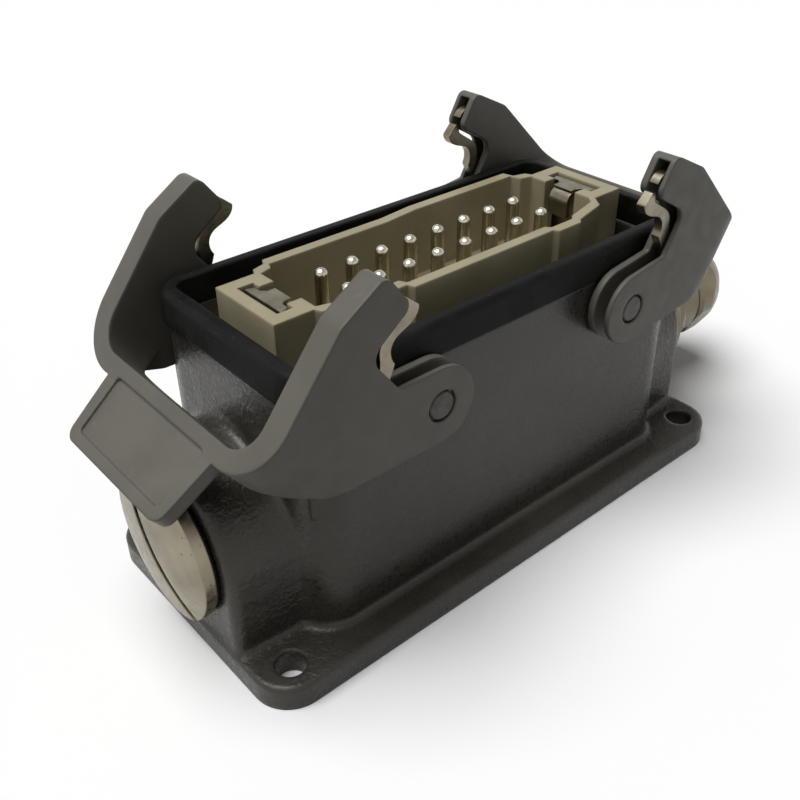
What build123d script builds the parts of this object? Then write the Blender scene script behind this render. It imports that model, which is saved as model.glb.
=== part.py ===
from build123d import *
from math import cos, radians, sin, sqrt, tan
import os

# Driving dimensions in millimetres. X runs along the connector, the front is -Y, and Z = 0 is the panel

# Base flange, as far as it reaches past the body, and its screw holes, measured from its edges
flange_past_end = 12.9
flange_past_side = 6.5
flange_thickness = 4.8
flange_corner = 7.0
flange_edge_round = 0.8
mount_from_end = 6.2
mount_from_side = 5.5
mount_hole = 5.5

# Cast body, measured at its shoulder under the seal; its chamber leaves a gap round the insert
chamber_gap_end = 0.35
chamber_gap_side = 1.3
body_corner = 7.2
body_draft = 0.5
body_height = 49.8
body_foot_round = 1.5
wall = 3.2
floor_thickness = 3.6
chamber_corner = 2.6

# Cable entries, one boss at each end that widens toward the body
entry_height = 20.5
boss_past_body = 12.4
boss_half_width = 16.2
boss_root_half_width = 17.3
boss_edge_round = 2.0
boss_root_round = 1.5
entry_thread = 25.0
entry_fit = 0.1

# Seal over the rim, measured at its lower edge
seal_past_end = 0.7
seal_past_side = 0.2
seal_outer_corner = 6.0
seal_inner_corner = 2.2
seal_lean = 7.0
seal_height = 5.5
seal_band = 3.3
seal_over_rim = 1.9
seal_outer_skirt = 1.2
seal_inner_skirt = 0.8
seal_outer_round = 1.4
seal_inner_round = 0.4
seal_fit = 0.05

# Contact insert
insert_length = 84.5
insert_width = 34.0
insert_corner = 2.5
insert_seat_under_shoulder = 9.0
insert_flange = 3.2
insert_rim_over_seat = 16.7
insert_rim_wall = 2.1
insert_block_set_in = 0.4
insert_block_width = 23.4
insert_block_depth = 18.3
insert_screw_from_edge = 3.5
insert_screw = 4.0
insert_screw_head = 7.0
insert_screw_head_height = 2.8
insert_screw_length = 12.0
insert_screw_slot = 1.0
insert_block_corner = 1.0
post_size = 9.2
post_height = 12.0
screw_fit = 0.1

# Steps of the insert's rim that code the connector: place from the nearer end block, distance from the middle
front_left_steps = [(0.6, 9.6), (3.2, 10.3), (3.8, 11.6), (16.0, 11.6), (16.6, 13.0)]
front_right_steps = [(17.2, 13.0), (16.4, 14.0), (10.8, 14.0), (9.8, 13.0), (2.0, 11.0)]
back_left_steps = [(0.6, 9.6), (3.2, 10.3), (3.8, 11.7), (29.6, 11.7)]
back_right_steps = [(29.2, 12.6), (3.8, 12.6), (3.2, 10.3), (0.6, 9.6)]

# End blocks of the insert's rim, with the T-slots for the earth contacts
end_block_set_in = 1.65
end_block_length = 7.4
end_block_width = 16.5
end_block_overlap = 0.8
earth_slot_cover = 2.4
earth_slot_depth = 3.0
earth_slot_width = 11.2
earth_slot_throat = 7.6

# Earth contacts
earth_sheet = 1.0
earth_width = 10.6
earth_top_under_rim = 0.6
earth_tongue_width = 4.6
earth_tongue_radius = 2.6
earth_tail_past_screw = 4.8
earth_screw = 3.5
earth_screw_length = 5.0
earth_screw_head = 6.4
earth_screw_head_height = 2.0
earth_screw_slot = 0.8
earth_screw_under_seat = 5.0
earth_nut_block = 9.0

# Contacts
contacts_per_row = 8
contact_pitch = 6.6
contact_rows = 7.35
contact_pin = 2.5
contact_top_under_rim = 0.6
contact_barrel = 4.4
contact_shoulder_under_seat = 2.2
contact_bottom_in_block = 2.5
contact_wire_hole = 2.8
contact_wire_depth = 10.0
contact_fit = 0.1

# Terminal screws
terminal_screw = 2.6
terminal_head = 4.2
terminal_head_height = 2.0
terminal_over_block_bottom = 7.5
terminal_slot = 0.7
pocket_width = 5.2
pocket_height = 8.0
pocket_depth = 3.0

# Lever pivots
pivot_x = 23.3
pivot_under_shoulder = 5.3
pivot_pin = 5.0
pivot_pin_fit = 0.05
pivot_running_fit = 0.06
pivot_ring_gap = 0.35
pivot_ring_depth = 0.9
pivot_pin_chamfer = 0.3
pivot_pin_inset = 0.1

# Levers, drawn closed, with the pivot at the origin and the tab pointing outward
lever_open_left = 37.0
lever_open_right = 30.3
lever_gap = 0.6
lever_arm = 4.7
lever_ear = 6.8
lever_sole_angle = 37.0
lever_sole = 22.0
lever_reach = 27.4
lever_heel = 15.5
lever_peak = (2.2, 27.6)
lever_tip = (-7.2, 26.9)
lever_nose_height = 19.4
lever_mouth = 2.7
lever_corner_outer = 9.8
lever_corner_inner = 5.4
lever_web = 3.3
lever_arch_end = 11.2
lever_arch_crown = 18.4
lever_sole_round = 5.0
lever_heel_round = 2.5
lever_back_round = 4.0
lever_tip_round = 1.8
lever_nose_round = 1.8
lever_mouth_round = 2.6
lever_throat_round = 0.6

# Slot between the two walls of an arm, for the latch spring
arm_inner_wall = 1.3
arm_outer_wall = 0.9
arm_slot_cover = 1.6
arm_slot_end = 14.1
arm_slot_bend = (9.5, 6.8)
arm_slot_shoulder = 12.2
arm_slot_foot = 4.1

# Handle tab
tab_top = 21.0
tab_reach = 39.1
tab_root_half = 16.0
tab_tip_half = 14.5
tab_thickness = 2.5
tab_corner = 2.4
recess_depth = 0.4
recess_start = 26.6
recess_end = 37.1
recess_root_half = 13.2
recess_tip_half = 12.5
recess_corner = 0.8

# Latch springs, in the same place and pose as the levers: a strip bent to a beak, a wave and a hidden loop
spring_thickness = 1.8
spring_mouth_edge = [(-8.3, 17.1), (-7.2, 16.2), (-4.6, 16.2), (-2.4, 16.6), (-0.8, 16.0), (0.1, 14.7),
                     (0.3, 13.5)]
spring_root = [(1.2, 12.9), (4.5, 11.0), (9.0, 9.5), (11.5, 12.0), (10.6, 15.0), (4.2, 14.4)]
spring_far_edge = [(4.2, 14.4), (1.6, 16.3), (0.4, 17.7), (-2.3, 18.4), (-6.0, 18.7)]
spring_beak = [(-6.9, 20.0), (-7.7, 19.7)]
spring_beak_round = 0.4
spring_loop = [(-6.8, 21.4), (-6.5, 22.7), (-4.8, 23.9), (0.0, 24.0), (6.0, 21.0), (10.2, 14.2)]
spring_loop_width = 1.2

# Blanking plug
ring_section = 0.8
plug_head = 27.6
plug_head_edge = 2.1
plug_dome = 1.8
plug_slot_width = 1.8
plug_slot_depth = 2.4
plug_slot_turn = -37.0
plug_thread_length = 9.0
plug_wall = 2.6

# Cable gland body
gland_collar = 29.4
gland_collar_thickness = 1.4
gland_hex = 23.6
gland_hex_length = 5.2
gland_hex_bevel = 1.4
gland_hex_bevel_length = 2.8
gland_shoulder = 21.2
gland_shoulder_length = 7.6
gland_thread_length = 9.0
gland_bore = 14.0
gland_neck = 18.0
gland_neck_length = 7.0
gland_neck_bore = 15.2
gland_seat_depth = 6.0

# Cap nut of the gland: a bell with six flats, its radius given at places from its foot
nut_length = 12.6
nut_flats = 21.2
nut_foot_radius = 10.7
nut_belly = (1.0, 11.3)
nut_belly_end = (4.2, 11.3)
nut_bell = [(7.0, 10.6), (9.2, 9.7), (11.0, 8.4)]
nut_end_radius = 6.8
nut_bore_depth = 7.2
nut_bore_cone = 3.6
nut_mouth = 12.0

# Clamping cage and sealing sleeve in the gland
gland_fit = 0.12
cage_wall = 1.2
cage_slots = 8
cage_slot = 1.0
cage_slot_length = 8.0
sleeve_set_back = 1.0
cable_hole = 9.0

# Places worked out from the sizes above
inside_length = insert_length + 2 * chamber_gap_end
inside_width = insert_width + 2 * chamber_gap_side
body_length = inside_length + 2 * wall
body_width = inside_width + 2 * wall
body_grow = body_height * tan(radians(body_draft))
boss_reach = body_length / 2 + boss_past_body
flange_length = body_length + 2 * flange_past_end
flange_width = body_width + 2 * flange_past_side
mount_spacing_x = flange_length - 2 * mount_from_end
mount_spacing_y = flange_width - 2 * mount_from_side
seal_length = body_length + 2 * seal_past_end
seal_breadth = body_width + 2 * seal_past_side
seal_top_height = body_height + seal_height
rim_height = seal_top_height - seal_over_rim
insert_screw_x = insert_length - 2 * insert_screw_from_edge
insert_screw_y = insert_width - 2 * insert_screw_from_edge
contact_span = (contacts_per_row - 1) * contact_pitch
insert_seat = body_height - insert_seat_under_shoulder
insert_top = insert_seat + insert_flange
insert_rim_top = insert_seat + insert_rim_over_seat
insert_block_bottom = insert_seat - insert_block_depth
earth_top = insert_rim_top - earth_top_under_rim
earth_screw_height = insert_seat - earth_screw_under_seat
earth_tail = earth_screw_height - earth_tail_past_screw
contact_top = insert_rim_top - contact_top_under_rim
contact_shoulder = insert_seat - contact_shoulder_under_seat
contact_bottom = insert_block_bottom + contact_bottom_in_block
terminal_height = insert_block_bottom + terminal_over_block_bottom
pivot_height = body_height - pivot_under_shoulder
end_block_reach = insert_length / 2 - end_block_set_in
end_block_root = end_block_reach - end_block_length
end_block_inner = end_block_root - end_block_overlap
insert_block_length = 2 * (end_block_inner - insert_block_set_in)
earth_slot_reach = end_block_reach - earth_slot_cover
earth_slot_inner = earth_slot_reach - earth_slot_depth
earth_face = (earth_slot_reach + earth_slot_inner + earth_sheet) / 2
lever_inside = body_width / 2 + lever_gap
lever_outside = lever_inside + lever_arm
arm_slot_inside = lever_inside + arm_inner_wall
arm_slot_outside = lever_outside - arm_outer_wall
arm_slot_middle = (arm_slot_inside + arm_slot_outside) / 2
entry_seat = boss_reach + ring_section
entry_shank = entry_thread - 2 * entry_fit
gland_hex_start = entry_seat + gland_collar_thickness
gland_hex_end = gland_hex_start + gland_hex_length
nut_start = gland_hex_end + gland_shoulder_length
neck_end = nut_start + gland_neck_length
cage_seat = nut_start - gland_seat_depth

# Over-length of every cutting tool beyond the face it cuts
past = 1.0


def rounded_block(length, width, radius, low, high, lean=0):
    """Upright block with round corners, from one height to another; lean narrows it toward the top."""
    return extrude(Pos(0, 0, low) * RectangleRounded(length, width, radius), high - low, taper=lean)


def block_between(low_corner, high_corner):
    """Box from one corner to the opposite one."""
    return Box(*[high - low for low, high in zip(low_corner, high_corner)], align=(Align.MIN,) * 3).moved(
        Location(low_corner))


def upright_cylinder(diameter, x, y, low, high):
    """Cylinder standing on its end."""
    return Pos(x, y, (low + high) / 2) * Cylinder(diameter / 2, high - low)


def cylinder_along_x(diameter, start, end, height):
    """Cylinder lying along X at the given height."""
    return Pos((start + end) / 2, 0, height) * Rot(0, 90, 0) * Cylinder(diameter / 2, abs(end - start))


def cylinder_along_y(diameter, x, start, end, height):
    """Cylinder lying along Y at the given place."""
    return Pos(x, (start + end) / 2, height) * Rot(90, 0, 0) * Cylinder(diameter / 2, abs(end - start))


def four_places(spacing_x, spacing_y):
    """The four corners of a screw pattern."""
    return [(sx * spacing_x / 2, sy * spacing_y / 2) for sx in (-1, 1) for sy in (-1, 1)]


# Housing

def boss_profile(half_width):
    """End view of a boss: round on top, straight down to the flange."""
    return Pos(0, entry_height) * (Circle(half_width) + Pos(0, -entry_height / 2) * Rectangle(
        2 * half_width, entry_height))


def entry_boss():
    """Boss round the cable entry of the right end, widening toward the body."""
    root = inside_length / 2
    boss = loft([Plane.YZ.offset(root) * boss_profile(boss_root_half_width),
                 Plane.YZ.offset(boss_reach) * boss_profile(boss_half_width)])
    face = boss.faces().sort_by(Axis.X)[-1]
    return fillet(face.edges().filter_by(lambda edge: edge.center().Z > flange_thickness), boss_edge_round)


def screw_posts():
    """Posts in the chamber's four corners, which carry the insert."""
    post_x = insert_screw_x / 2 - post_size / 2
    post_y = insert_screw_y / 2 - post_size / 2
    into_wall = wall / 2
    post = block_between((post_x, post_y, insert_seat - post_height),
                         (inside_length / 2 + into_wall, inside_width / 2 + into_wall, insert_seat))
    right = [post, mirror(post, Plane.XZ)]
    return right + [mirror(one, Plane.YZ) for one in right]


def housing():
    """Die-cast housing with flange, bosses, wiring chamber, screw posts and rim for the seal."""
    flange = rounded_block(flange_length, flange_width, flange_corner, 0, flange_thickness)
    flange = fillet(flange.faces().sort_by(Axis.Z)[-1].edges(), flange_edge_round)
    foot = RectangleRounded(body_length + 2 * body_grow, body_width + 2 * body_grow, body_corner + body_grow)
    boss = entry_boss()
    shell = extrude(foot, body_height, taper=body_draft) + boss + mirror(boss, Plane.YZ)
    boss_roots = shell.edges().filter_by(
        lambda edge: inside_length / 2 < abs(edge.center().X) < body_length / 2 + boss_root_round
        and flange_thickness < edge.center().Z < entry_height + boss_root_half_width)
    shell = fillet(boss_roots, boss_root_round) + flange
    foot_edges = shell.edges().filter_by(
        lambda edge: abs(edge.center().Z - flange_thickness) < flange_edge_round / 10
        and boss_half_width - boss_root_round < abs(edge.center().Y) < body_width / 2 + 2 * body_grow)
    shell = fillet(foot_edges, body_foot_round)

    outer = seal_outer_skirt + seal_fit
    inner = seal_band - seal_inner_skirt - seal_fit
    shell += rounded_block(seal_length - 2 * outer, seal_breadth - 2 * outer, seal_outer_corner - outer,
                           body_height - past, rim_height)
    shell -= rounded_block(seal_length - 2 * inner, seal_breadth - 2 * inner,
                           seal_inner_corner + seal_inner_skirt, body_height, rim_height + past)
    shell -= rounded_block(inside_length, inside_width, chamber_corner, floor_thickness, rim_height + past)
    shell += screw_posts()
    for x, y in four_places(insert_screw_x, insert_screw_y):
        shell -= upright_cylinder(insert_screw + screw_fit, x, y, insert_seat - post_height + past,
                                  insert_seat + past)
    for x, y in four_places(mount_spacing_x, mount_spacing_y):
        shell -= upright_cylinder(mount_hole, x, y, -past, flange_thickness + past)
    for side in (-1, 1):
        shell -= cylinder_along_x(entry_thread, side * (inside_length / 2 - past), side * (boss_reach + past),
                                  entry_height)
        for x in (-pivot_x, pivot_x):
            shell -= cylinder_along_y(pivot_pin + 2 * pivot_pin_fit, x, side * (inside_width / 2 - past),
                                      side * (body_width / 2 + body_grow + past), pivot_height)
    return shell


def seal_gasket():
    """Rubber profile that caps the rim: a skirt outside, a shorter one inside, and the sealing face."""
    seal = rounded_block(seal_length, seal_breadth, seal_outer_corner, body_height, seal_top_height, seal_lean)
    seal = fillet(seal.faces().sort_by(Axis.Z)[-1].edges(), seal_outer_round)
    seal -= rounded_block(seal_length - 2 * seal_band, seal_breadth - 2 * seal_band, seal_inner_corner,
                          body_height - past, seal_top_height + past)
    seal = fillet(seal.faces().sort_by(Axis.Z)[-1].inner_wires()[0].edges(), seal_inner_round)
    outer = seal_outer_skirt
    inner = seal_band - seal_inner_skirt
    groove = rounded_block(seal_length - 2 * outer, seal_breadth - 2 * outer, seal_outer_corner - outer,
                           body_height - past, rim_height)
    groove -= rounded_block(seal_length - 2 * inner, seal_breadth - 2 * inner,
                            seal_inner_corner + seal_inner_skirt, body_height - past, rim_height)
    return seal - groove


# Contact insert

def rim_outline():
    """Plan of the insert's rim between its end blocks, with the steps that code the connector."""
    block = end_block_width / 2
    front_end = [(-end_block_reach, -block), (-end_block_root, -block)]
    front = [(x - end_block_root, -y) for x, y in front_left_steps]
    front += [(end_block_root - x, -y) for x, y in front_right_steps]
    back = [(x - end_block_root, y) for x, y in back_left_steps]
    back += [(end_block_root - x, y) for x, y in back_right_steps]
    back_end = [(end_block_root, -block), (end_block_reach, -block), (end_block_reach, block),
                (end_block_root, block)]
    last = [(-end_block_root, block), (-end_block_reach, block)]
    return make_face(Polyline(front_end + front + back_end + back[::-1] + last, close=True))


def contact_places():
    """Place along X and side of each contact."""
    return [(-contact_span / 2 + number * contact_pitch, side)
            for side in (-1, 1) for number in range(contacts_per_row)]


def earth_seat():
    """Slot for the earth contact of the right end, and the block under the flange that holds its nut."""
    below = earth_tail - past
    half = earth_slot_width / 2
    slot = block_between((earth_slot_inner, -half, below),
                         (earth_slot_reach, half, insert_rim_top + past))
    throat_half = earth_slot_throat / 2
    throat = block_between((end_block_inner - past, -throat_half, insert_top),
                           (earth_slot_inner + past, throat_half, insert_rim_top + past))
    nut_half = earth_nut_block / 2
    block = block_between((insert_block_length / 2 - past, -nut_half, earth_tail),
                          (earth_face - earth_sheet, nut_half, insert_seat))
    hole = cylinder_along_x(earth_screw + 2 * screw_fit, earth_face - earth_screw_length - past,
                            earth_face + past, earth_screw_height)
    return slot + throat, block, hole


def insert_body():
    """Moulded insert: flange, coded rim, chambers for the contacts and pockets for their screws."""
    insert = rounded_block(insert_length, insert_width, insert_corner, insert_seat, insert_top)
    insert += rounded_block(insert_block_length, insert_block_width, insert_block_corner, insert_block_bottom,
                            insert_seat)
    outline = rim_outline()
    room = Rectangle(2 * end_block_inner, insert_width)
    cavity = (Pos(0, insert_rim_wall) * outline) & (Pos(0, -insert_rim_wall) * outline) & room
    insert += extrude(Pos(0, 0, insert_top) * (outline - cavity), insert_rim_top - insert_top)

    slot, block, hole = earth_seat()
    for piece in (slot, mirror(slot, Plane.YZ)):
        insert -= piece
    insert += [block, mirror(block, Plane.YZ)]
    for piece in (hole, mirror(hole, Plane.YZ)):
        insert -= piece
    for x, y in four_places(insert_screw_x, insert_screw_y):
        insert -= upright_cylinder(insert_screw + 5 * screw_fit, x, y, insert_seat - past, insert_top + past)
    for x, side in contact_places():
        y = side * contact_rows / 2
        insert -= upright_cylinder(contact_pin + contact_fit, x, y, contact_shoulder, insert_top + past)
        insert -= upright_cylinder(contact_barrel + contact_fit, x, y, insert_block_bottom - past,
                                   contact_shoulder)
        pocket_y = side * (insert_block_width - pocket_depth) / 2
        insert -= Pos(x, pocket_y, terminal_height) * Box(pocket_width, pocket_depth, pocket_height)
        insert -= cylinder_along_y(terminal_screw + 2 * screw_fit, x, y, side * insert_block_width / 2,
                                   terminal_height)
    return insert


def contact():
    """Turned contact with a round tip, a thicker barrel and a wire hole from below."""
    pin_half = contact_pin / 2
    barrel_half = contact_barrel / 2
    hole_half = contact_wire_hole / 2
    hole_top = contact_bottom + contact_wire_depth
    tip_foot = contact_top - pin_half
    outline = Polyline([(0, contact_top), (0, hole_top), (hole_half, hole_top), (hole_half, contact_bottom),
                        (barrel_half, contact_bottom), (barrel_half, contact_shoulder),
                        (pin_half, contact_shoulder), (pin_half, tip_foot)])
    tip = CenterArc((0, tip_foot), pin_half, 0, 90)
    turned = revolve(Plane.XZ * make_face(outline + tip), Axis.Z)
    return turned - cylinder_along_y(terminal_screw + screw_fit, 0, 0, contact_barrel, terminal_height)


def contact_pins():
    """The sixteen contacts; the screw hole of each looks outward."""
    one = contact()
    return Compound(children=[
        Pos(x, side * contact_rows / 2, 0) * Rot(0, 0, 0 if side > 0 else 180) * one
        for x, side in contact_places()])


def terminal_screws():
    """Sixteen cheese-head screws that clamp the wires."""
    pieces = []
    floor = insert_block_width / 2 - pocket_depth
    shank_end = contact_rows / 2 + contact_wire_hole / 2
    for x, side in contact_places():
        top = side * (floor + terminal_head_height)
        head = cylinder_along_y(terminal_head, x, side * floor, top, terminal_height)
        shank = cylinder_along_y(terminal_screw, x, side * shank_end, side * floor, terminal_height)
        slot = Pos(x, top, terminal_height) * Box(terminal_head + past, terminal_head_height, terminal_slot)
        pieces.append(head + shank - slot)
    return Compound(children=pieces)


def insert_screws():
    """Four captive screws from the insert's flange into the housing's posts."""
    pieces = []
    top = insert_top + insert_screw_head_height
    for x, y in four_places(insert_screw_x, insert_screw_y):
        head = upright_cylinder(insert_screw_head, x, y, insert_top, top)
        shank = upright_cylinder(insert_screw, x, y, insert_top - insert_screw_length, insert_top)
        slot = Pos(x, y, top) * Rot(0, 0, 45) * Box(
            insert_screw_head + past, insert_screw_slot, insert_screw_head_height)
        pieces.append(head + shank - slot)
    return Compound(children=pieces)


def earth_plate():
    """Bent earth contact of the right end: a strip in the slot, with a tongue curled into the cavity."""
    half = earth_width / 2
    strip = block_between((earth_face - earth_sheet, -half, earth_tail), (earth_face, half, earth_top))
    curl_z = earth_top - earth_tongue_radius
    curl_x = earth_face - earth_tongue_radius
    ring = Pos(curl_x, 0, curl_z) * Rot(90, 0, 0) * (
        Cylinder(earth_tongue_radius, earth_tongue_width)
        - Cylinder(earth_tongue_radius - earth_sheet, earth_tongue_width + past))
    upper_half = block_between((curl_x - 2 * earth_tongue_radius, -half, curl_z),
                               (curl_x + 2 * earth_tongue_radius, half, earth_top + past))
    tongue_half = earth_tongue_width / 2
    tongue_end = block_between((curl_x - earth_tongue_radius, -tongue_half, curl_z - earth_tongue_radius),
                               (curl_x - earth_tongue_radius + earth_sheet, tongue_half, curl_z))
    hole = cylinder_along_x(earth_screw + 2 * screw_fit, earth_face - earth_sheet - past, earth_face + past,
                            earth_screw_height)
    return strip + (ring & upper_half) + tongue_end - hole


def earth_screw_right():
    """Screw that holds the right earth contact's tail to the insert's nut block."""
    top = earth_face + earth_screw_head_height
    head = cylinder_along_x(earth_screw_head, earth_face, top, earth_screw_height)
    shank = cylinder_along_x(earth_screw, earth_face - earth_screw_length, earth_face, earth_screw_height)
    slot = Pos(top, 0, earth_screw_height) * Box(
        earth_screw_head_height, earth_screw_head + past, earth_screw_slot)
    return head + shank - slot


# Levers

def lever_side():
    """Side view of an arm: ear round the pin, sole, heel, back, tip, nose and the mouth for the hood's peg."""
    slope = radians(lever_sole_angle)
    low = (lever_ear * sin(slope), -lever_ear * cos(slope))
    high = (-low[0], -low[1])
    ear_far = (-lever_ear * cos(slope), -lever_ear * sin(slope))
    sole_end = (low[0] + lever_sole * cos(slope), low[1] + lever_sole * sin(slope))
    heel = (lever_reach, lever_heel)
    nose = (lever_tip[0], lever_nose_height)
    mouth = (lever_mouth, lever_nose_height)
    throat = (lever_mouth, high[1] + (lever_mouth - high[0]) * tan(slope))
    outline = Polyline([low, sole_end, heel, (lever_reach, tab_top), lever_peak, lever_tip, nose, mouth, throat,
                        high])
    face = make_face(outline + ThreePointArc(high, ear_far, low))
    rounds = [(sole_end, lever_sole_round), (heel, lever_heel_round), (lever_peak, lever_back_round),
              (lever_tip, lever_tip_round), (nose, lever_nose_round), (mouth, lever_mouth_round),
              (throat, lever_throat_round)]
    for place, radius in rounds:
        face = fillet(face.vertices().sort_by_distance((*place, 0))[0], radius)
    return face


def lever_frame_plan():
    """Top view of the two arms and the web between them, with round corners."""
    start = -2 * lever_ear
    web = lever_reach - lever_web
    outer = Pos((start + lever_reach) / 2, 0) * Rectangle(lever_reach - start, 2 * lever_outside)
    outer = fillet(outer.vertices().group_by(Axis.X)[-1], lever_corner_outer)
    inner = Pos((start + web) / 2, 0) * Rectangle(web - start, 2 * lever_inside)
    return outer - fillet(inner.vertices().group_by(Axis.X)[-1], lever_corner_inner)


def wedge_plan(start, end, start_half, end_half):
    """Top view of the tab, or of its recess: a plate that narrows outward."""
    return make_face(Polyline([(start, -start_half), (end, -end_half), (end, end_half), (start, start_half)],
                              close=True))


def arm_slot_side():
    """Side view of the slot between an arm's two walls, open at the ear, the mouth and the nose."""
    back_slope = (lever_peak[1] - tab_top) / (lever_reach - lever_peak[0])
    top_end = lever_peak[1] - arm_slot_cover - (arm_slot_end - lever_peak[0]) * back_slope
    far = -2 * lever_ear
    return make_face(Polyline([(far, far), (arm_slot_foot, far), arm_slot_bend, (arm_slot_end, arm_slot_shoulder),
                               (arm_slot_end, top_end), (lever_peak[0], lever_peak[1] - arm_slot_cover),
                               (far, lever_tip[1] - arm_slot_cover)], close=True))


def lever():
    """One moulded lever, closed: U of two double-walled arms, arched web and handle tab."""
    tall = lever_peak[1] + 2 * lever_ear
    column = extrude(Pos(0, 0, -lever_ear - past) * lever_frame_plan(), tall)
    body = extrude(Plane.XZ * lever_side(), lever_outside + past, both=True) & column
    deep = -2 * lever_ear
    arch = make_face(ThreePointArc((-lever_inside, lever_arch_end), (0, lever_arch_crown),
                                   (lever_inside, lever_arch_end))
                     + Polyline([(lever_inside, lever_arch_end), (lever_inside, deep), (-lever_inside, deep),
                                 (-lever_inside, lever_arch_end)]))
    body -= extrude(Plane.YZ * arch, lever_reach + past)

    tab = wedge_plan(lever_reach - past, tab_reach, tab_root_half, tab_tip_half)
    tab = fillet(tab.vertices().group_by(Axis.X)[-1], tab_corner)
    body += extrude(Pos(0, 0, tab_top - tab_thickness) * tab, tab_thickness)
    recess = wedge_plan(recess_start, recess_end, recess_root_half, recess_tip_half)
    recess = fillet(recess.vertices(), recess_corner)
    body -= extrude(Pos(0, 0, tab_top - recess_depth) * recess, recess_depth + past)

    arm_slot = arm_slot_side()
    for side in (-1, 1):
        body -= extrude(Plane.XZ.offset(side * arm_slot_middle) * arm_slot,
                        (arm_slot_outside - arm_slot_inside) / 2, both=True)
        body -= cylinder_along_y(pivot_pin + 2 * pivot_running_fit, 0, side * (lever_inside - past),
                                 side * (lever_outside + past), 0)
        body -= cylinder_along_y(pivot_pin + 2 * pivot_ring_gap, 0, side * (lever_outside - pivot_ring_depth),
                                 side * (lever_outside + past), 0)
    return body


def latch_spring():
    """Steel spring of the near arm: beak before the nose, wave in the mouth, loop back inside the slot."""
    edges = Spline(spring_mouth_edge) + Polyline([spring_mouth_edge[-1]] + spring_root) + Spline(spring_far_edge)
    edges += Polyline([spring_far_edge[-1]] + spring_beak + [spring_mouth_edge[0]])
    leg = make_face(edges)
    for tip in (spring_mouth_edge[0], spring_beak[-1]):
        leg = fillet(leg.vertices().sort_by_distance((*tip, 0))[0], spring_beak_round)
    loop = trace(Spline(spring_loop), spring_loop_width)
    return extrude(Plane.XZ.offset(arm_slot_middle) * (leg + loop), spring_thickness / 2, both=True)


def on_pivot(piece, angle, side):
    """Turn a lever piece open by an angle and put it on the pivot of one side."""
    placed = Pos(pivot_x, 0, pivot_height) * Rot(0, angle, 0) * piece
    return placed if side > 0 else mirror(placed, Plane.YZ)


def pivot_pin_at(x, side):
    """Steel pin pressed into the wall; the lever's ear turns on it."""
    inner = side * (inside_width / 2 + pivot_pin_inset)
    pin = cylinder_along_y(pivot_pin, x, inner, side * lever_outside, pivot_height)
    return chamfer(pin.edges().filter_by(GeomType.CIRCLE), pivot_pin_chamfer)


# Entries

def plug():
    """Blanking plug, drawn at the right entry: domed head with a coin slot and a hollow threaded shank."""
    half = plug_head / 2
    rim = entry_seat + plug_head_edge
    crown = rim + plug_dome
    dome_radius = (half ** 2 + plug_dome ** 2) / (2 * plug_dome)
    halfway = (crown - dome_radius + sqrt(dome_radius ** 2 - half ** 2 / 4), half / 2)
    outline = Polyline([(crown, 0), (entry_seat, 0), (entry_seat, half), (rim, half)])
    head = revolve(Plane.XZ * make_face(outline + ThreePointArc((rim, half), halfway, (crown, 0))), Axis.X)
    thread_end = boss_reach - plug_thread_length
    piece = Pos(0, 0, entry_height) * head
    piece += cylinder_along_x(entry_shank, thread_end, entry_seat + plug_head_edge / 2, entry_height)
    piece -= cylinder_along_x(entry_shank - 2 * plug_wall, thread_end - past, boss_reach - past, entry_height)
    slot = Box(2 * plug_slot_depth, plug_slot_width, plug_head + past)
    return piece - Pos(crown, 0, entry_height) * Rot(plug_slot_turn, 0, 0) * slot


def o_ring():
    """Rubber ring between an entry's boss and the head screwed into it."""
    middle = entry_thread / 2 + ring_section / 2 + entry_fit
    ring = Rot(0, 90, 0) * Torus(middle, ring_section / 2)
    return Pos(boss_reach + ring_section / 2, 0, entry_height) * ring


def turned_along_x(outline):
    """Solid turned about the entry's axis from points given as place along X and radius."""
    ends = [(outline[-1][0], 0), (outline[0][0], 0)]
    return Pos(0, 0, entry_height) * revolve(Plane.XZ * make_face(Polyline(outline + ends, close=True)), Axis.X)


def hexagon_along_x(flats, start, end):
    """Hexagon bar lying along X, flats on top and bottom."""
    return extrude(Plane.YZ.offset(start) * Pos(0, entry_height) * RegularPolygon(
        flats / 2, 6, major_radius=False), end - start)


def gland_body():
    """Gland body: thread in the entry, collar, hexagon, shoulder and the neck that takes the cap nut."""
    corner = gland_hex / sqrt(3)
    bevelled = turned_along_x([(gland_hex_start, corner), (gland_hex_end - gland_hex_bevel_length, corner),
                               (gland_hex_end, corner - gland_hex_bevel)])
    body = hexagon_along_x(gland_hex, gland_hex_start, gland_hex_end) & bevelled
    body += turned_along_x([(boss_reach - gland_thread_length, entry_shank / 2), (entry_seat, entry_shank / 2),
                            (entry_seat, gland_collar / 2), (gland_hex_start, gland_collar / 2)])
    body += turned_along_x([(gland_hex_end - past, gland_shoulder / 2), (nut_start, gland_shoulder / 2),
                            (nut_start, gland_neck / 2), (neck_end, gland_neck / 2)])
    body -= cylinder_along_x(gland_bore, boss_reach - gland_thread_length - past, cage_seat + past, entry_height)
    return body - cylinder_along_x(gland_neck_bore, cage_seat, neck_end + past, entry_height)


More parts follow.
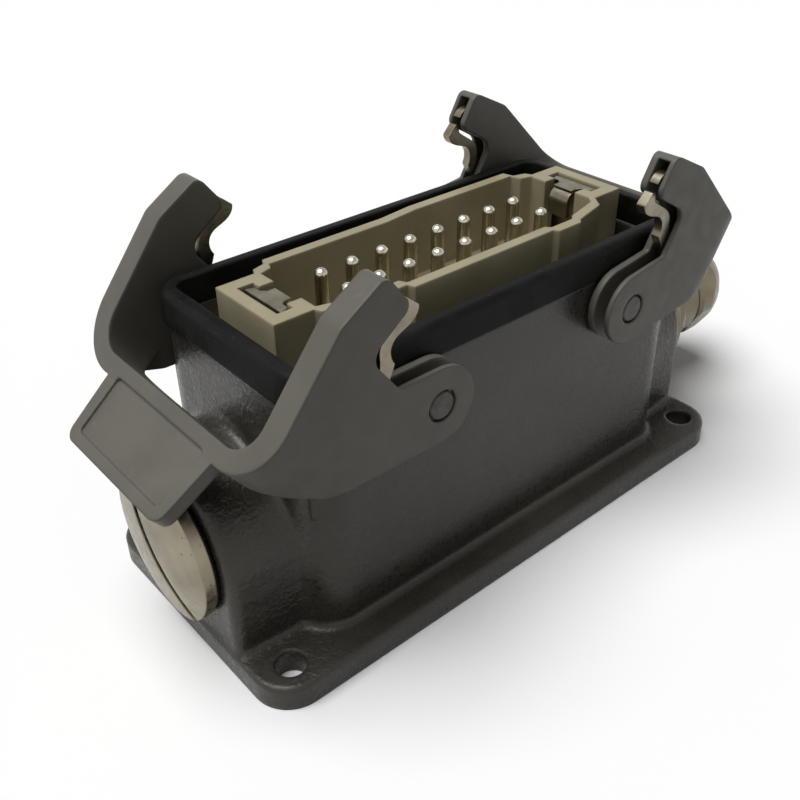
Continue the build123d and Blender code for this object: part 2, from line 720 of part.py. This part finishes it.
def gland_nut():
    """Bell-shaped cap nut over the neck, with six flats and a mouth for the cable."""
    end = nut_start + nut_length
    belly, belly_end, *bell = [(nut_start + x, radius) for x, radius in (nut_belly, nut_belly_end, *nut_bell)]
    foot = Polyline([(end, nut_end_radius), (end, 0), (nut_start, 0), (nut_start, nut_foot_radius), belly,
                     belly_end])
    curve = Spline([belly_end] + bell + [(end, nut_end_radius)], tangents=[(1, 0), (0, -1)])
    nut = Pos(0, 0, entry_height) * revolve(Plane.XZ * make_face(foot + curve), Axis.X)
    nut &= hexagon_along_x(nut_flats, nut_start, end)
    bore = gland_neck / 2 + gland_fit
    bore_end = nut_start + nut_bore_depth
    mouth = nut_mouth / 2
    return nut - turned_along_x([(nut_start - past, bore), (bore_end, bore), (bore_end + nut_bore_cone, mouth),
                                 (end + past, mouth)])


def gland_clamp():
    """Plastic cage in the neck, cut into fingers."""
    outer = gland_neck_bore - 2 * gland_fit
    cage = cylinder_along_x(outer, cage_seat, neck_end, entry_height)
    cage -= cylinder_along_x(outer - 2 * cage_wall, cage_seat - past, neck_end + past, entry_height)
    finger_cut = Pos(neck_end - cage_slot_length, -cage_slot / 2, 0) * Box(
        cage_slot_length + past, cage_slot, outer, align=(Align.MIN,) * 3)
    for number in range(cage_slots):
        cage -= Pos(0, 0, entry_height) * Rot(number * 360 / cage_slots, 0, 0) * finger_cut
    return cage


def gland_seal():
    """Rubber sleeve that closes round the cable."""
    outer = gland_neck_bore - 4 * gland_fit - 2 * cage_wall
    sleeve = cylinder_along_x(outer, cage_seat, neck_end - sleeve_set_back, entry_height)
    return sleeve - cylinder_along_x(cable_hole, cage_seat - past, neck_end + past, entry_height)


# Writing the nodes

os.makedirs("parts", exist_ok=True)
right_earth = earth_plate()
right_earth_screw = earth_screw_right()
one_lever = lever()
near_spring = latch_spring()
far_spring = mirror(near_spring, Plane.XZ)
right_ring = o_ring()
nodes = {
    "housing": housing(),
    "seal_gasket": seal_gasket(),
    "insert_body": insert_body(),
    "contact_pins": contact_pins(),
    "terminal_screws": terminal_screws(),
    "insert_screws": insert_screws(),
    "earth_screws": Compound(children=[right_earth_screw, mirror(right_earth_screw, Plane.YZ)]),
    "earth_plate_right": right_earth,
    "earth_plate_left": mirror(right_earth, Plane.YZ),
    "lever_left": on_pivot(one_lever, lever_open_left, -1),
    "lever_right": on_pivot(one_lever, lever_open_right, 1),
    "latch_spring_left_near": on_pivot(near_spring, lever_open_left, -1),
    "latch_spring_left_far": on_pivot(far_spring, lever_open_left, -1),
    "latch_spring_right_near": on_pivot(near_spring, lever_open_right, 1),
    "latch_spring_right_far": on_pivot(far_spring, lever_open_right, 1),
    "pivot_pin_left_near": pivot_pin_at(-pivot_x, -1),
    "pivot_pin_left_far": pivot_pin_at(-pivot_x, 1),
    "pivot_pin_right_near": pivot_pin_at(pivot_x, -1),
    "pivot_pin_right_far": pivot_pin_at(pivot_x, 1),
    "blanking_plug": mirror(plug(), Plane.YZ),
    "plug_o_ring": mirror(right_ring, Plane.YZ),
    "gland_body": gland_body(),
    "gland_o_ring": right_ring,
    "gland_nut": gland_nut(),
    "gland_clamp": gland_clamp(),
    "gland_seal": gland_seal(),
}
for name, solid in nodes.items():
    export_step(solid, f"parts/{name}.step")
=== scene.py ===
import bpy
from math import pi, radians
from mathutils import Matrix, Vector


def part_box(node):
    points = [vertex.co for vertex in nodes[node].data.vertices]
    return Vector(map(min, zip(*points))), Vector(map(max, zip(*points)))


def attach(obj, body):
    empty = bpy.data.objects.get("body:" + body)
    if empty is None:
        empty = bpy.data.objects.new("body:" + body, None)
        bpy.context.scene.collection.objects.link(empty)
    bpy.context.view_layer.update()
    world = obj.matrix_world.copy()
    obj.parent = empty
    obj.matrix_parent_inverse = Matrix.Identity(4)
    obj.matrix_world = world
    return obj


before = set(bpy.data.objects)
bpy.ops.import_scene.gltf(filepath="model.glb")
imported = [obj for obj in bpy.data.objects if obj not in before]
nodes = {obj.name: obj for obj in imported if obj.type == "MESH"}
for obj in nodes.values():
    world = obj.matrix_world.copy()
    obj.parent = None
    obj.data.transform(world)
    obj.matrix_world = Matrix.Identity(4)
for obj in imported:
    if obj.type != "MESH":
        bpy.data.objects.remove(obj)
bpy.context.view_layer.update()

# Camera. A close view from the front left and above, at about 13 cm over the panel, with the lens that
# makes the near end as large as in the photograph.
camera_place = (-0.10699, -0.1165, 0.1285)
camera_turn = -0.7166
camera_down = 0.5814
camera_roll = -0.0071
camera_lens = 43.37
camera_sensor = 36.0
camera_shift = (-0.01933, -0.01518)
camera_near_limit = 0.01
camera_data = bpy.data.cameras.new("camera")
camera_data.sensor_width = camera_sensor
camera_data.lens = camera_lens
camera_data.shift_x, camera_data.shift_y = camera_shift
camera_data.clip_start = camera_near_limit
camera = bpy.data.objects.new("camera", camera_data)
bpy.context.collection.objects.link(camera)
camera.matrix_world = (Matrix.Translation(camera_place) @ Matrix.Rotation(camera_turn, 4, "Z")
                       @ Matrix.Rotation(pi / 2 - camera_down, 4, "X") @ Matrix.Rotation(camera_roll, 4, "Z"))
bpy.context.scene.camera = camera
bpy.context.scene.view_settings.view_transform = "Standard"


# Paper floor. A sheet of white background paper lies under the connector. The camera and the metal see it
# white, and the light it throws back at the object is held down, so that the front stays in shade.
def new_material(name, roughness=0.5):
    """An empty node material: the material, its node tree and its shader."""
    material = bpy.data.materials.new(name)
    material.use_nodes = True
    tree = material.node_tree
    shader = tree.nodes["Principled BSDF"]
    shader.inputs["Roughness"].default_value = roughness
    return material, tree, shader


def add_node(tree, kind, settings=None, values=None):
    """A shader node with its settings and the values of its inputs."""
    node = tree.nodes.new(kind)
    for name, value in (settings or {}).items():
        setattr(node, name, value)
    for name, value in (values or {}).items():
        node.inputs[name].default_value = value
    return node


def calculate(tree, operation, first, second):
    """Two patterns put together by a sum, a product or the like."""
    result = add_node(tree, "ShaderNodeMath", {"operation": operation})
    tree.links.new(first, result.inputs[0])
    tree.links.new(second, result.inputs[1])
    return result.outputs[0]


def seen_directly(tree):
    """One for a ray from the camera, from a mirror or through glass, and nought for scattered light."""
    path = add_node(tree, "ShaderNodeLightPath")
    mirrored = calculate(tree, "MAXIMUM", path.outputs["Is Camera Ray"], path.outputs["Is Glossy Ray"])
    return calculate(tree, "MAXIMUM", mirrored, path.outputs["Is Transmission Ray"])


paper_white = (0.95, 0.95, 0.95, 1)
paper_in_scattered_light = (0.21, 0.205, 0.19, 1)
paper_roughness = 0.9
paper_reach = 30.0
paper_under_panel = 0.0001
paper, paper_tree, paper_shader = new_material("white_paper", paper_roughness)
paper_mix = add_node(paper_tree, "ShaderNodeMix", {"data_type": "RGBA"})
paper_mix.inputs["A"].default_value = paper_in_scattered_light
paper_mix.inputs["B"].default_value = paper_white
paper_tree.links.new(seen_directly(paper_tree), paper_mix.inputs["Factor"])
paper_tree.links.new(paper_mix.outputs["Result"], paper_shader.inputs["Base Color"])
floor_mesh = bpy.data.meshes.new("paper_floor")
floor_mesh.from_pydata([(x * paper_reach, y * paper_reach, 0)
                        for x, y in ((-1, -1), (1, -1), (1, 1), (-1, 1))], [], [(0, 1, 2, 3)])
floor = bpy.data.objects.new("paper_floor", floor_mesh)
floor.location = (0, 0, -paper_under_panel)
bpy.context.collection.objects.link(floor)
floor_mesh.materials.append(paper)

# Studio light. A broad soft lamp stands high on the left, a little behind the object, as the bright upper
# and left faces and the dark front of the photograph show. The room's white walls are seen low down.
room_light = 0.14
room_wall = 1.0
room_ceiling = 0.5
wall_foot, wall_top = 0.3, 0.6
lamp_power = 3.0
lamp_from = Vector((-0.28, 0.12, 0.95))
lamp_spread = 44.0
world = bpy.data.worlds.new("studio")
bpy.context.scene.world = world
world.use_nodes = True
room = world.node_tree
sight = add_node(room, "ShaderNodeTexCoord")
height = add_node(room, "ShaderNodeSeparateXYZ")
wall = add_node(room, "ShaderNodeMapRange", values={"From Min": wall_foot, "From Max": wall_top,
                                                    "To Min": room_wall, "To Max": room_ceiling})
strength = add_node(room, "ShaderNodeMix")
strength.inputs["A"].default_value = room_light
room.links.new(sight.outputs["Generated"], height.inputs["Vector"])
room.links.new(height.outputs["Z"], wall.inputs["Value"])
room.links.new(wall.outputs["Result"], strength.inputs["B"])
room.links.new(seen_directly(room), strength.inputs["Factor"])
room.links.new(strength.outputs["Result"], room.nodes["Background"].inputs["Strength"])
room.nodes["Background"].inputs["Color"].default_value = (1, 1, 1, 1)
lamp_data = bpy.data.lights.new("soft_lamp", "SUN")
lamp_data.energy = lamp_power
lamp_data.angle = radians(lamp_spread)
lamp = bpy.data.objects.new("soft_lamp", lamp_data)
lamp.rotation_euler = (-lamp_from).to_track_quat("-Z", "Y").to_euler()
bpy.context.collection.objects.link(lamp)


# Housing. Die-cast aluminium under a dark grey powder coat. The coat is glossy, nearly smooth on the long
# sides and finely wrinkled in patches toward the ends, with grains that glint.
def object_place(tree, stretch=(1, 1, 1)):
    """Place on the piece in metres, stretched along its axes."""
    place = add_node(tree, "ShaderNodeTexCoord")
    mapping = add_node(tree, "ShaderNodeMapping", values={"Scale": stretch})
    tree.links.new(place.outputs["Object"], mapping.inputs["Vector"])
    return mapping.outputs["Vector"]


def noise(tree, place, grain, detail=3.0, distortion=0.0):
    """Cloudy pattern whose patches are about as wide as the grain, in metres."""
    cloud = add_node(tree, "ShaderNodeTexNoise", values={"Scale": 1 / grain, "Detail": detail,
                                                         "Distortion": distortion})
    tree.links.new(place, cloud.inputs["Vector"])
    return cloud.outputs["Fac"]


def spread(tree, value, low, high, from_low=0.3, from_high=0.7):
    """A pattern spread between two values."""
    span = add_node(tree, "ShaderNodeMapRange", values={"From Min": from_low, "From Max": from_high,
                                                        "To Min": low, "To Max": high})
    tree.links.new(value, span.inputs["Value"])
    return span.outputs["Result"]


def blend(tree, factor, first, second):
    """Two colours mixed by a pattern; each is a colour or another node's output."""
    mix = add_node(tree, "ShaderNodeMix", {"data_type": "RGBA"})
    tree.links.new(factor, mix.inputs["Factor"])
    for socket, colour in (("A", first), ("B", second)):
        if isinstance(colour, tuple):
            mix.inputs[socket].default_value = (*colour, 1)
        else:
            tree.links.new(colour, mix.inputs[socket])
    return mix.outputs["Result"]


def finish_surface(tree, shader, colour, roughness):
    """Give the shader its colour and roughness patterns."""
    tree.links.new(colour, shader.inputs["Base Color"])
    tree.links.new(roughness, shader.inputs["Roughness"])


def relief(tree, shader, layers, edge_round):
    """Rounded edges under layers of fine relief, each a pattern, its height in metres and its strength."""
    edge = add_node(tree, "ShaderNodeBevel", {"samples": 6}, {"Radius": edge_round})
    normal = edge.outputs["Normal"]
    for pattern, height, strength in layers:
        bump = add_node(tree, "ShaderNodeBump", values={"Distance": height, "Strength": strength})
        tree.links.new(pattern, bump.inputs["Height"])
        tree.links.new(normal, bump.inputs["Normal"])
        normal = bump.outputs["Normal"]
    tree.links.new(normal, shader.inputs["Normal"])


def dress(material, *names):
    """Put a finish on solids of the frame."""
    for name in names:
        nodes[name].data.materials.clear()
        nodes[name].data.materials.append(material)


coat_dark = (0.031, 0.0295, 0.0245)
coat_light = (0.046, 0.0435, 0.036)
coat_tint = (1, 0.97, 0.9, 1)
coat_shine = 0.38
coat_satin, coat_glint = 0.34, 0.14
coat_glint_range = (0.5, 0.72)
coat_grain, coat_grain_relief = 0.0008, (0.0001, 0.35)
coat_wrinkle, coat_wrinkle_relief = 0.0015, (0.0005, 0.5)
coat_wrinkle_curl = 1.4
coat_wave, coat_wave_relief = 0.009, (0.0004, 0.3)
coat_patch, coat_patch_least, coat_patch_range = 0.012, 0.25, (0.42, 0.58)
coat_smooth_to, coat_rough_from = 0.03, 0.047
coat_middle_wrinkle = 0.15
casting_round = 0.0011
coat, tree, shader = new_material("powder_coat")
place = object_place(tree)
grains = noise(tree, place, coat_grain, 2.0)
wrinkles = noise(tree, place, coat_wrinkle, 4.0, coat_wrinkle_curl)
waves = noise(tree, place, coat_wave, 2.0)
finish_surface(tree, shader, blend(tree, spread(tree, waves, 0, 1), coat_dark, coat_light),
               spread(tree, grains, coat_satin, coat_glint, *coat_glint_range))
shader.inputs["Specular IOR Level"].default_value = coat_shine
shader.inputs["Specular Tint"].default_value = coat_tint
along = add_node(tree, "ShaderNodeSeparateXYZ")
tree.links.new(place, along.inputs["Vector"])
from_middle = add_node(tree, "ShaderNodeMath", {"operation": "ABSOLUTE"})
tree.links.new(along.outputs["X"], from_middle.inputs[0])
rough_end = spread(tree, from_middle.outputs[0], coat_middle_wrinkle, 1.0, coat_smooth_to, coat_rough_from)
patches = spread(tree, noise(tree, place, coat_patch, 1.0), coat_patch_least, 1.0, *coat_patch_range)
end_wrinkles = calculate(tree, "MULTIPLY", calculate(tree, "MULTIPLY", wrinkles, rough_end), patches)
relief(tree, shader, [(waves, *coat_wave_relief), (end_wrinkles, *coat_wrinkle_relief),
                      (grains, *coat_grain_relief)], casting_round)
dress(coat, "housing")

# Seal. Black moulded rubber pressed over the rim, satin, a little paler in random patches and
# dusted with fine specks.
rubber_black = (0.005, 0.005, 0.0048)
rubber_pale = (0.011, 0.011, 0.0105)
rubber_dust = (0.06, 0.058, 0.052)
rubber_shine = 0.1
rubber_roughness = (0.46, 0.62)
pale_patch_size, pale_patch_range = 0.006, (0.42, 0.66)
rubber_speck, rubber_speck_range = 0.0005, (0.74, 0.78)
rubber_skin, rubber_skin_relief = 0.0009, (0.00008, 0.5)
rubber_round = 0.0005
rubber, tree, shader = new_material("seal_rubber")
shader.inputs["Specular IOR Level"].default_value = rubber_shine
place = object_place(tree)
pale_patches = spread(tree, noise(tree, place, pale_patch_size, 4.0), 0, 1, *pale_patch_range)
specks = spread(tree, noise(tree, place, rubber_speck, 1.0), 0, 1, *rubber_speck_range)
finish_surface(tree, shader,
               blend(tree, specks, blend(tree, pale_patches, rubber_black, rubber_pale), rubber_dust),
               spread(tree, pale_patches, *rubber_roughness, 0, 1))
relief(tree, shader, [(noise(tree, place, rubber_skin), *rubber_skin_relief)], rubber_round)
dress(rubber, "seal_gasket", "plug_o_ring", "gland_o_ring", "gland_seal")

# Contact insert. Beige glass-filled plastic, matt, with a fine grain and faint clouds from moulding.
insert_light = (0.345, 0.308, 0.198)
insert_deep = (0.285, 0.252, 0.157)
insert_fibre = (0.4, 0.365, 0.255)
insert_roughness = (0.45, 0.58)
insert_cloud = 0.008
fibre_width, fibre_stretch = 0.0004, (1, 3, 1)
fibre_most, fibre_range = 0.5, (0.6, 0.75)
insert_skin, insert_skin_relief = 0.00035, (0.00004, 0.5)
insert_round = 0.0007
insert, tree, shader = new_material("insert_plastic")
place = object_place(tree)
clouds = spread(tree, noise(tree, place, insert_cloud, 4.0), 0, 1)
fibre_pattern = noise(tree, object_place(tree, fibre_stretch), fibre_width, 2.0)
fibres = spread(tree, fibre_pattern, 0, fibre_most, *fibre_range)
finish_surface(tree, shader,
               blend(tree, fibres, blend(tree, clouds, insert_deep, insert_light), insert_fibre),
               spread(tree, clouds, *insert_roughness, 0, 1))
relief(tree, shader, [(noise(tree, place, insert_skin, 2.0), *insert_skin_relief)], insert_round)
dress(insert, "insert_body")


# Contacts. Turned brass pins under polished silver, darker in stains from handling.
def new_metal(name):
    """An empty node material whose shader is bare metal."""
    material, tree, shader = new_material(name)
    shader.inputs["Metallic"].default_value = 1.0
    return material, tree, shader


silver_bright = (0.66, 0.63, 0.54)
silver_dull = (0.46, 0.415, 0.31)
silver_roughness = (0.1, 0.3)
silver_stain, silver_stain_stretch, silver_stain_range = 0.0012, (1, 1, 0.3), (0.4, 0.7)
turning_mark, turning_mark_stretch, turning_mark_relief = 0.0002, (0.2, 0.2, 1), (0.00001, 0.5)
contact_round = 0.0007
silver, tree, shader = new_metal("contact_silver")
stain_pattern = noise(tree, object_place(tree, silver_stain_stretch), silver_stain)
stains = spread(tree, stain_pattern, 0, 1, *silver_stain_range)
finish_surface(tree, shader, blend(tree, stains, silver_bright, silver_dull),
               spread(tree, stains, *silver_roughness, 0, 1))
turning_marks = noise(tree, object_place(tree, turning_mark_stretch), turning_mark, 1.0)
relief(tree, shader, [(turning_marks, *turning_mark_relief)], contact_round)
dress(silver, "contact_pins")

# Screws of the insert, of the terminals and of the earth contacts. Zinc-plated steel, slotted.
zinc_bright = (0.4, 0.39, 0.36)
zinc_dull = (0.27, 0.26, 0.235)
zinc_roughness = (0.25, 0.42)
zinc_patch = 0.0011
zinc_skin, zinc_skin_relief = 0.0003, (0.00002, 0.5)
screw_round = 0.00025
zinc, tree, shader = new_metal("screw_zinc")
place = object_place(tree)
patches = spread(tree, noise(tree, place, zinc_patch, 4.0), 0, 1)
finish_surface(tree, shader, blend(tree, patches, zinc_bright, zinc_dull),
               spread(tree, patches, *zinc_roughness, 0, 1))
relief(tree, shader, [(noise(tree, place, zinc_skin, 2.0), *zinc_skin_relief)], screw_round)
dress(zinc, "insert_screws", "terminal_screws", "earth_screws")

# Earth contacts and latch springs. Stainless strip, cut and bent, with rolling marks along it and rounded
# edges.
strip_bright = (0.29, 0.26, 0.2)
strip_dull = (0.18, 0.158, 0.118)
strip_roughness = (0.26, 0.44)
strip_cloud = 0.003
rolling_mark, rolling_mark_stretch, rolling_mark_relief = 0.0016, (1, 1, 9), (0.00002, 0.5)
strip_round = 0.00022
strip, tree, shader = new_metal("spring_strip")
rolled = noise(tree, object_place(tree, rolling_mark_stretch), rolling_mark, 4.0)
clouds = spread(tree, noise(tree, object_place(tree), strip_cloud), 0, 1)
finish_surface(tree, shader, blend(tree, clouds, strip_dull, strip_bright),
               spread(tree, rolled, *strip_roughness))
relief(tree, shader, [(rolled, *rolling_mark_relief)], strip_round)
dress(strip, "earth_plate_left", "earth_plate_right", "latch_spring_left_near", "latch_spring_left_far",
      "latch_spring_right_near", "latch_spring_right_far")


# Caps of the earth contacts. The strip's top is folded flat toward the contacts, full width over the slot
# and narrower where the tongue goes on, and lies just below the insert's rim.
def sheet_piece(name, outline, bottom, thickness, material):
    """A piece of sheet from its outline in plan, with a small bevel round its top."""
    count = len(outline)
    bevel = thickness / 3
    middle = [sum(values) / count for values in zip(*outline)]
    inner = [tuple(value + (centre - value) * bevel / max(abs(value - centre), bevel)
                   for value, centre in zip(corner, middle)) for corner in outline]
    points = [(*corner, bottom) for corner in outline]
    points += [(*corner, bottom + thickness - bevel) for corner in outline]
    points += [(*corner, bottom + thickness) for corner in inner]
    faces = [tuple(range(count))[::-1], tuple(range(2 * count, 3 * count))]
    for ring in (0, count):
        faces += [(ring + i, ring + (i + 1) % count, ring + count + (i + 1) % count, ring + count + i)
                  for i in range(count)]
    mesh = bpy.data.meshes.new(name)
    mesh.from_pydata(points, [], faces)
    piece = bpy.data.objects.new(name, mesh)
    bpy.context.collection.objects.link(piece)
    mesh.materials.append(material)
    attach(piece, "housing_body")


cap_half = 0.0052
cap_end_half = 0.0046
cap_shoulder_half = 0.0031
cap_tongue_half = 0.0023
cap_depth = 0.0016
cap_tongue_start = 0.00256
cap_tongue_depth = 0.0040
cap_thickness = 0.0003
for end, name in ((-1, "earth_plate_left"), (1, "earth_plate_right")):
    low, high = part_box(name)
    outer = low[0] if end < 0 else high[0]
    steps = [(0, -cap_half), (cap_depth, -cap_end_half), (cap_depth, -cap_shoulder_half),
             (cap_tongue_start, -cap_tongue_half), (cap_tongue_depth, -cap_tongue_half)]
    steps += [(depth, -half) for depth, half in reversed(steps)]
    plan = [(outer - end * depth, half) for depth, half in steps]
    sheet_piece(name + "_cap", plan if end < 0 else plan[::-1], high[2], cap_thickness, strip)

# Levers. Grey moulded plastic with a satin skin, faint flow clouds and a fine spark-eroded grain.
lever_light = (0.117, 0.1095, 0.0915)
lever_deep = (0.097, 0.0905, 0.0745)
lever_scuff = (0.16, 0.152, 0.132)
lever_shine = 0.4
lever_roughness = (0.42, 0.56)
lever_cloud, lever_cloud_curl = 0.014, 0.6
scuff_width, scuff_curl, scuff_stretch = 0.0022, 1.0, (1, 1, 2.5)
scuff_most, scuff_range = 0.3, (0.64, 0.74)
lever_sheen_patch = 0.003
lever_skin, lever_skin_relief = 0.0005, (0.00005, 0.4)
lever_round = 0.0008
lever, tree, shader = new_material("lever_plastic")
shader.inputs["Specular IOR Level"].default_value = lever_shine
place = object_place(tree)
clouds = spread(tree, noise(tree, place, lever_cloud, 3.0, lever_cloud_curl), 0, 1)
scuff_pattern = noise(tree, object_place(tree, scuff_stretch), scuff_width, 5.0, scuff_curl)
scuffs = spread(tree, scuff_pattern, 0, scuff_most, *scuff_range)
finish_surface(tree, shader, blend(tree, scuffs, blend(tree, clouds, lever_deep, lever_light), lever_scuff),
               spread(tree, noise(tree, place, lever_sheen_patch), *lever_roughness))
relief(tree, shader, [(noise(tree, place, lever_skin, 2.0), *lever_skin_relief)], lever_round)
dress(lever, "lever_left", "lever_right")

# Pivot pins. Steel rod pressed into the wall, its face blackened and a little stained.
pin_light = (0.06, 0.057, 0.049)
pin_dark = (0.035, 0.033, 0.028)
pin_metal = 0.5
pin_roughness = (0.32, 0.5)
pin_stain = 0.0014
pin_skin, pin_skin_relief = 0.0004, (0.00003, 0.6)
pin_round = 0.0002
pin_steel, tree, shader = new_material("pivot_steel")
shader.inputs["Metallic"].default_value = pin_metal
place = object_place(tree)
stains = spread(tree, noise(tree, place, pin_stain, 4.0), 0, 1)
finish_surface(tree, shader, blend(tree, stains, pin_light, pin_dark),
               spread(tree, stains, *pin_roughness, 0, 1))
relief(tree, shader, [(noise(tree, place, pin_skin, 2.0), *pin_skin_relief)], pin_round)
dress(pin_steel, "pivot_pin_left_near", "pivot_pin_left_far", "pivot_pin_right_near", "pivot_pin_right_far")

# Blanking plug and cable gland. Turned brass under nickel, warm and softly bright, with small dark pits.
# The gland's copy of the finish is painted darker than the plug's, as painted shade for the housing's shadow
# on it.
plug_bright, plug_dull = (0.315, 0.28, 0.205), (0.2, 0.175, 0.123)
# Painted shade: the gland's colours are the nickel darkened for the housing's shadow, not a duller plating.
gland_painted_shade_bright, gland_painted_shade_dull = (0.21, 0.182, 0.125), (0.125, 0.106, 0.07)
nickel_pit = (0.06, 0.052, 0.04)
nickel_roughness = (0.24, 0.4)
nickel_cloud = 0.006
nickel_sheen_patch = 0.0015
pit_width, pit_most, pit_range, pit_relief = 0.0007, 0.9, (0.7, 0.74), (-0.00005, 0.6)
nickel_dent, nickel_dent_relief = 0.004, (0.0001, 0.3)
nickel_round = 0.0004
for name, bright, dull, pieces in (("plug_nickel", plug_bright, plug_dull, ("blanking_plug",)),
                                   ("gland_nickel_painted_shade", gland_painted_shade_bright, gland_painted_shade_dull, ("gland_body", "gland_nut"))):
    nickel, tree, shader = new_metal(name)
    place = object_place(tree)
    clouds = spread(tree, noise(tree, place, nickel_cloud), 0, 1)
    pits = spread(tree, noise(tree, place, pit_width, 2.0), 0, pit_most, *pit_range)
    finish_surface(tree, shader, blend(tree, pits, blend(tree, clouds, dull, bright), nickel_pit),
                   spread(tree, noise(tree, place, nickel_sheen_patch), *nickel_roughness))
    relief(tree, shader, [(noise(tree, place, nickel_dent, 2.0), *nickel_dent_relief), (pits, *pit_relief)],
           nickel_round)
    dress(nickel, *pieces)

# Clamping cage of the gland. Black nylon, matt.
nylon_black, nylon_pale = (0.05, 0.05, 0.05), (0.08, 0.08, 0.078)
nylon_cloud = 0.002
nylon_skin, nylon_skin_relief = 0.0005, (0.00003, 0.5)
cage_round = 0.0002
nylon, tree, shader = new_material("cage_nylon")
place = object_place(tree)
clouds = spread(tree, noise(tree, place, nylon_cloud), 0, 1)
tree.links.new(blend(tree, clouds, nylon_black, nylon_pale), shader.inputs["Base Color"])
relief(tree, shader, [(noise(tree, place, nylon_skin, 2.0), *nylon_skin_relief)], cage_round)
dress(nylon, "gland_clamp")
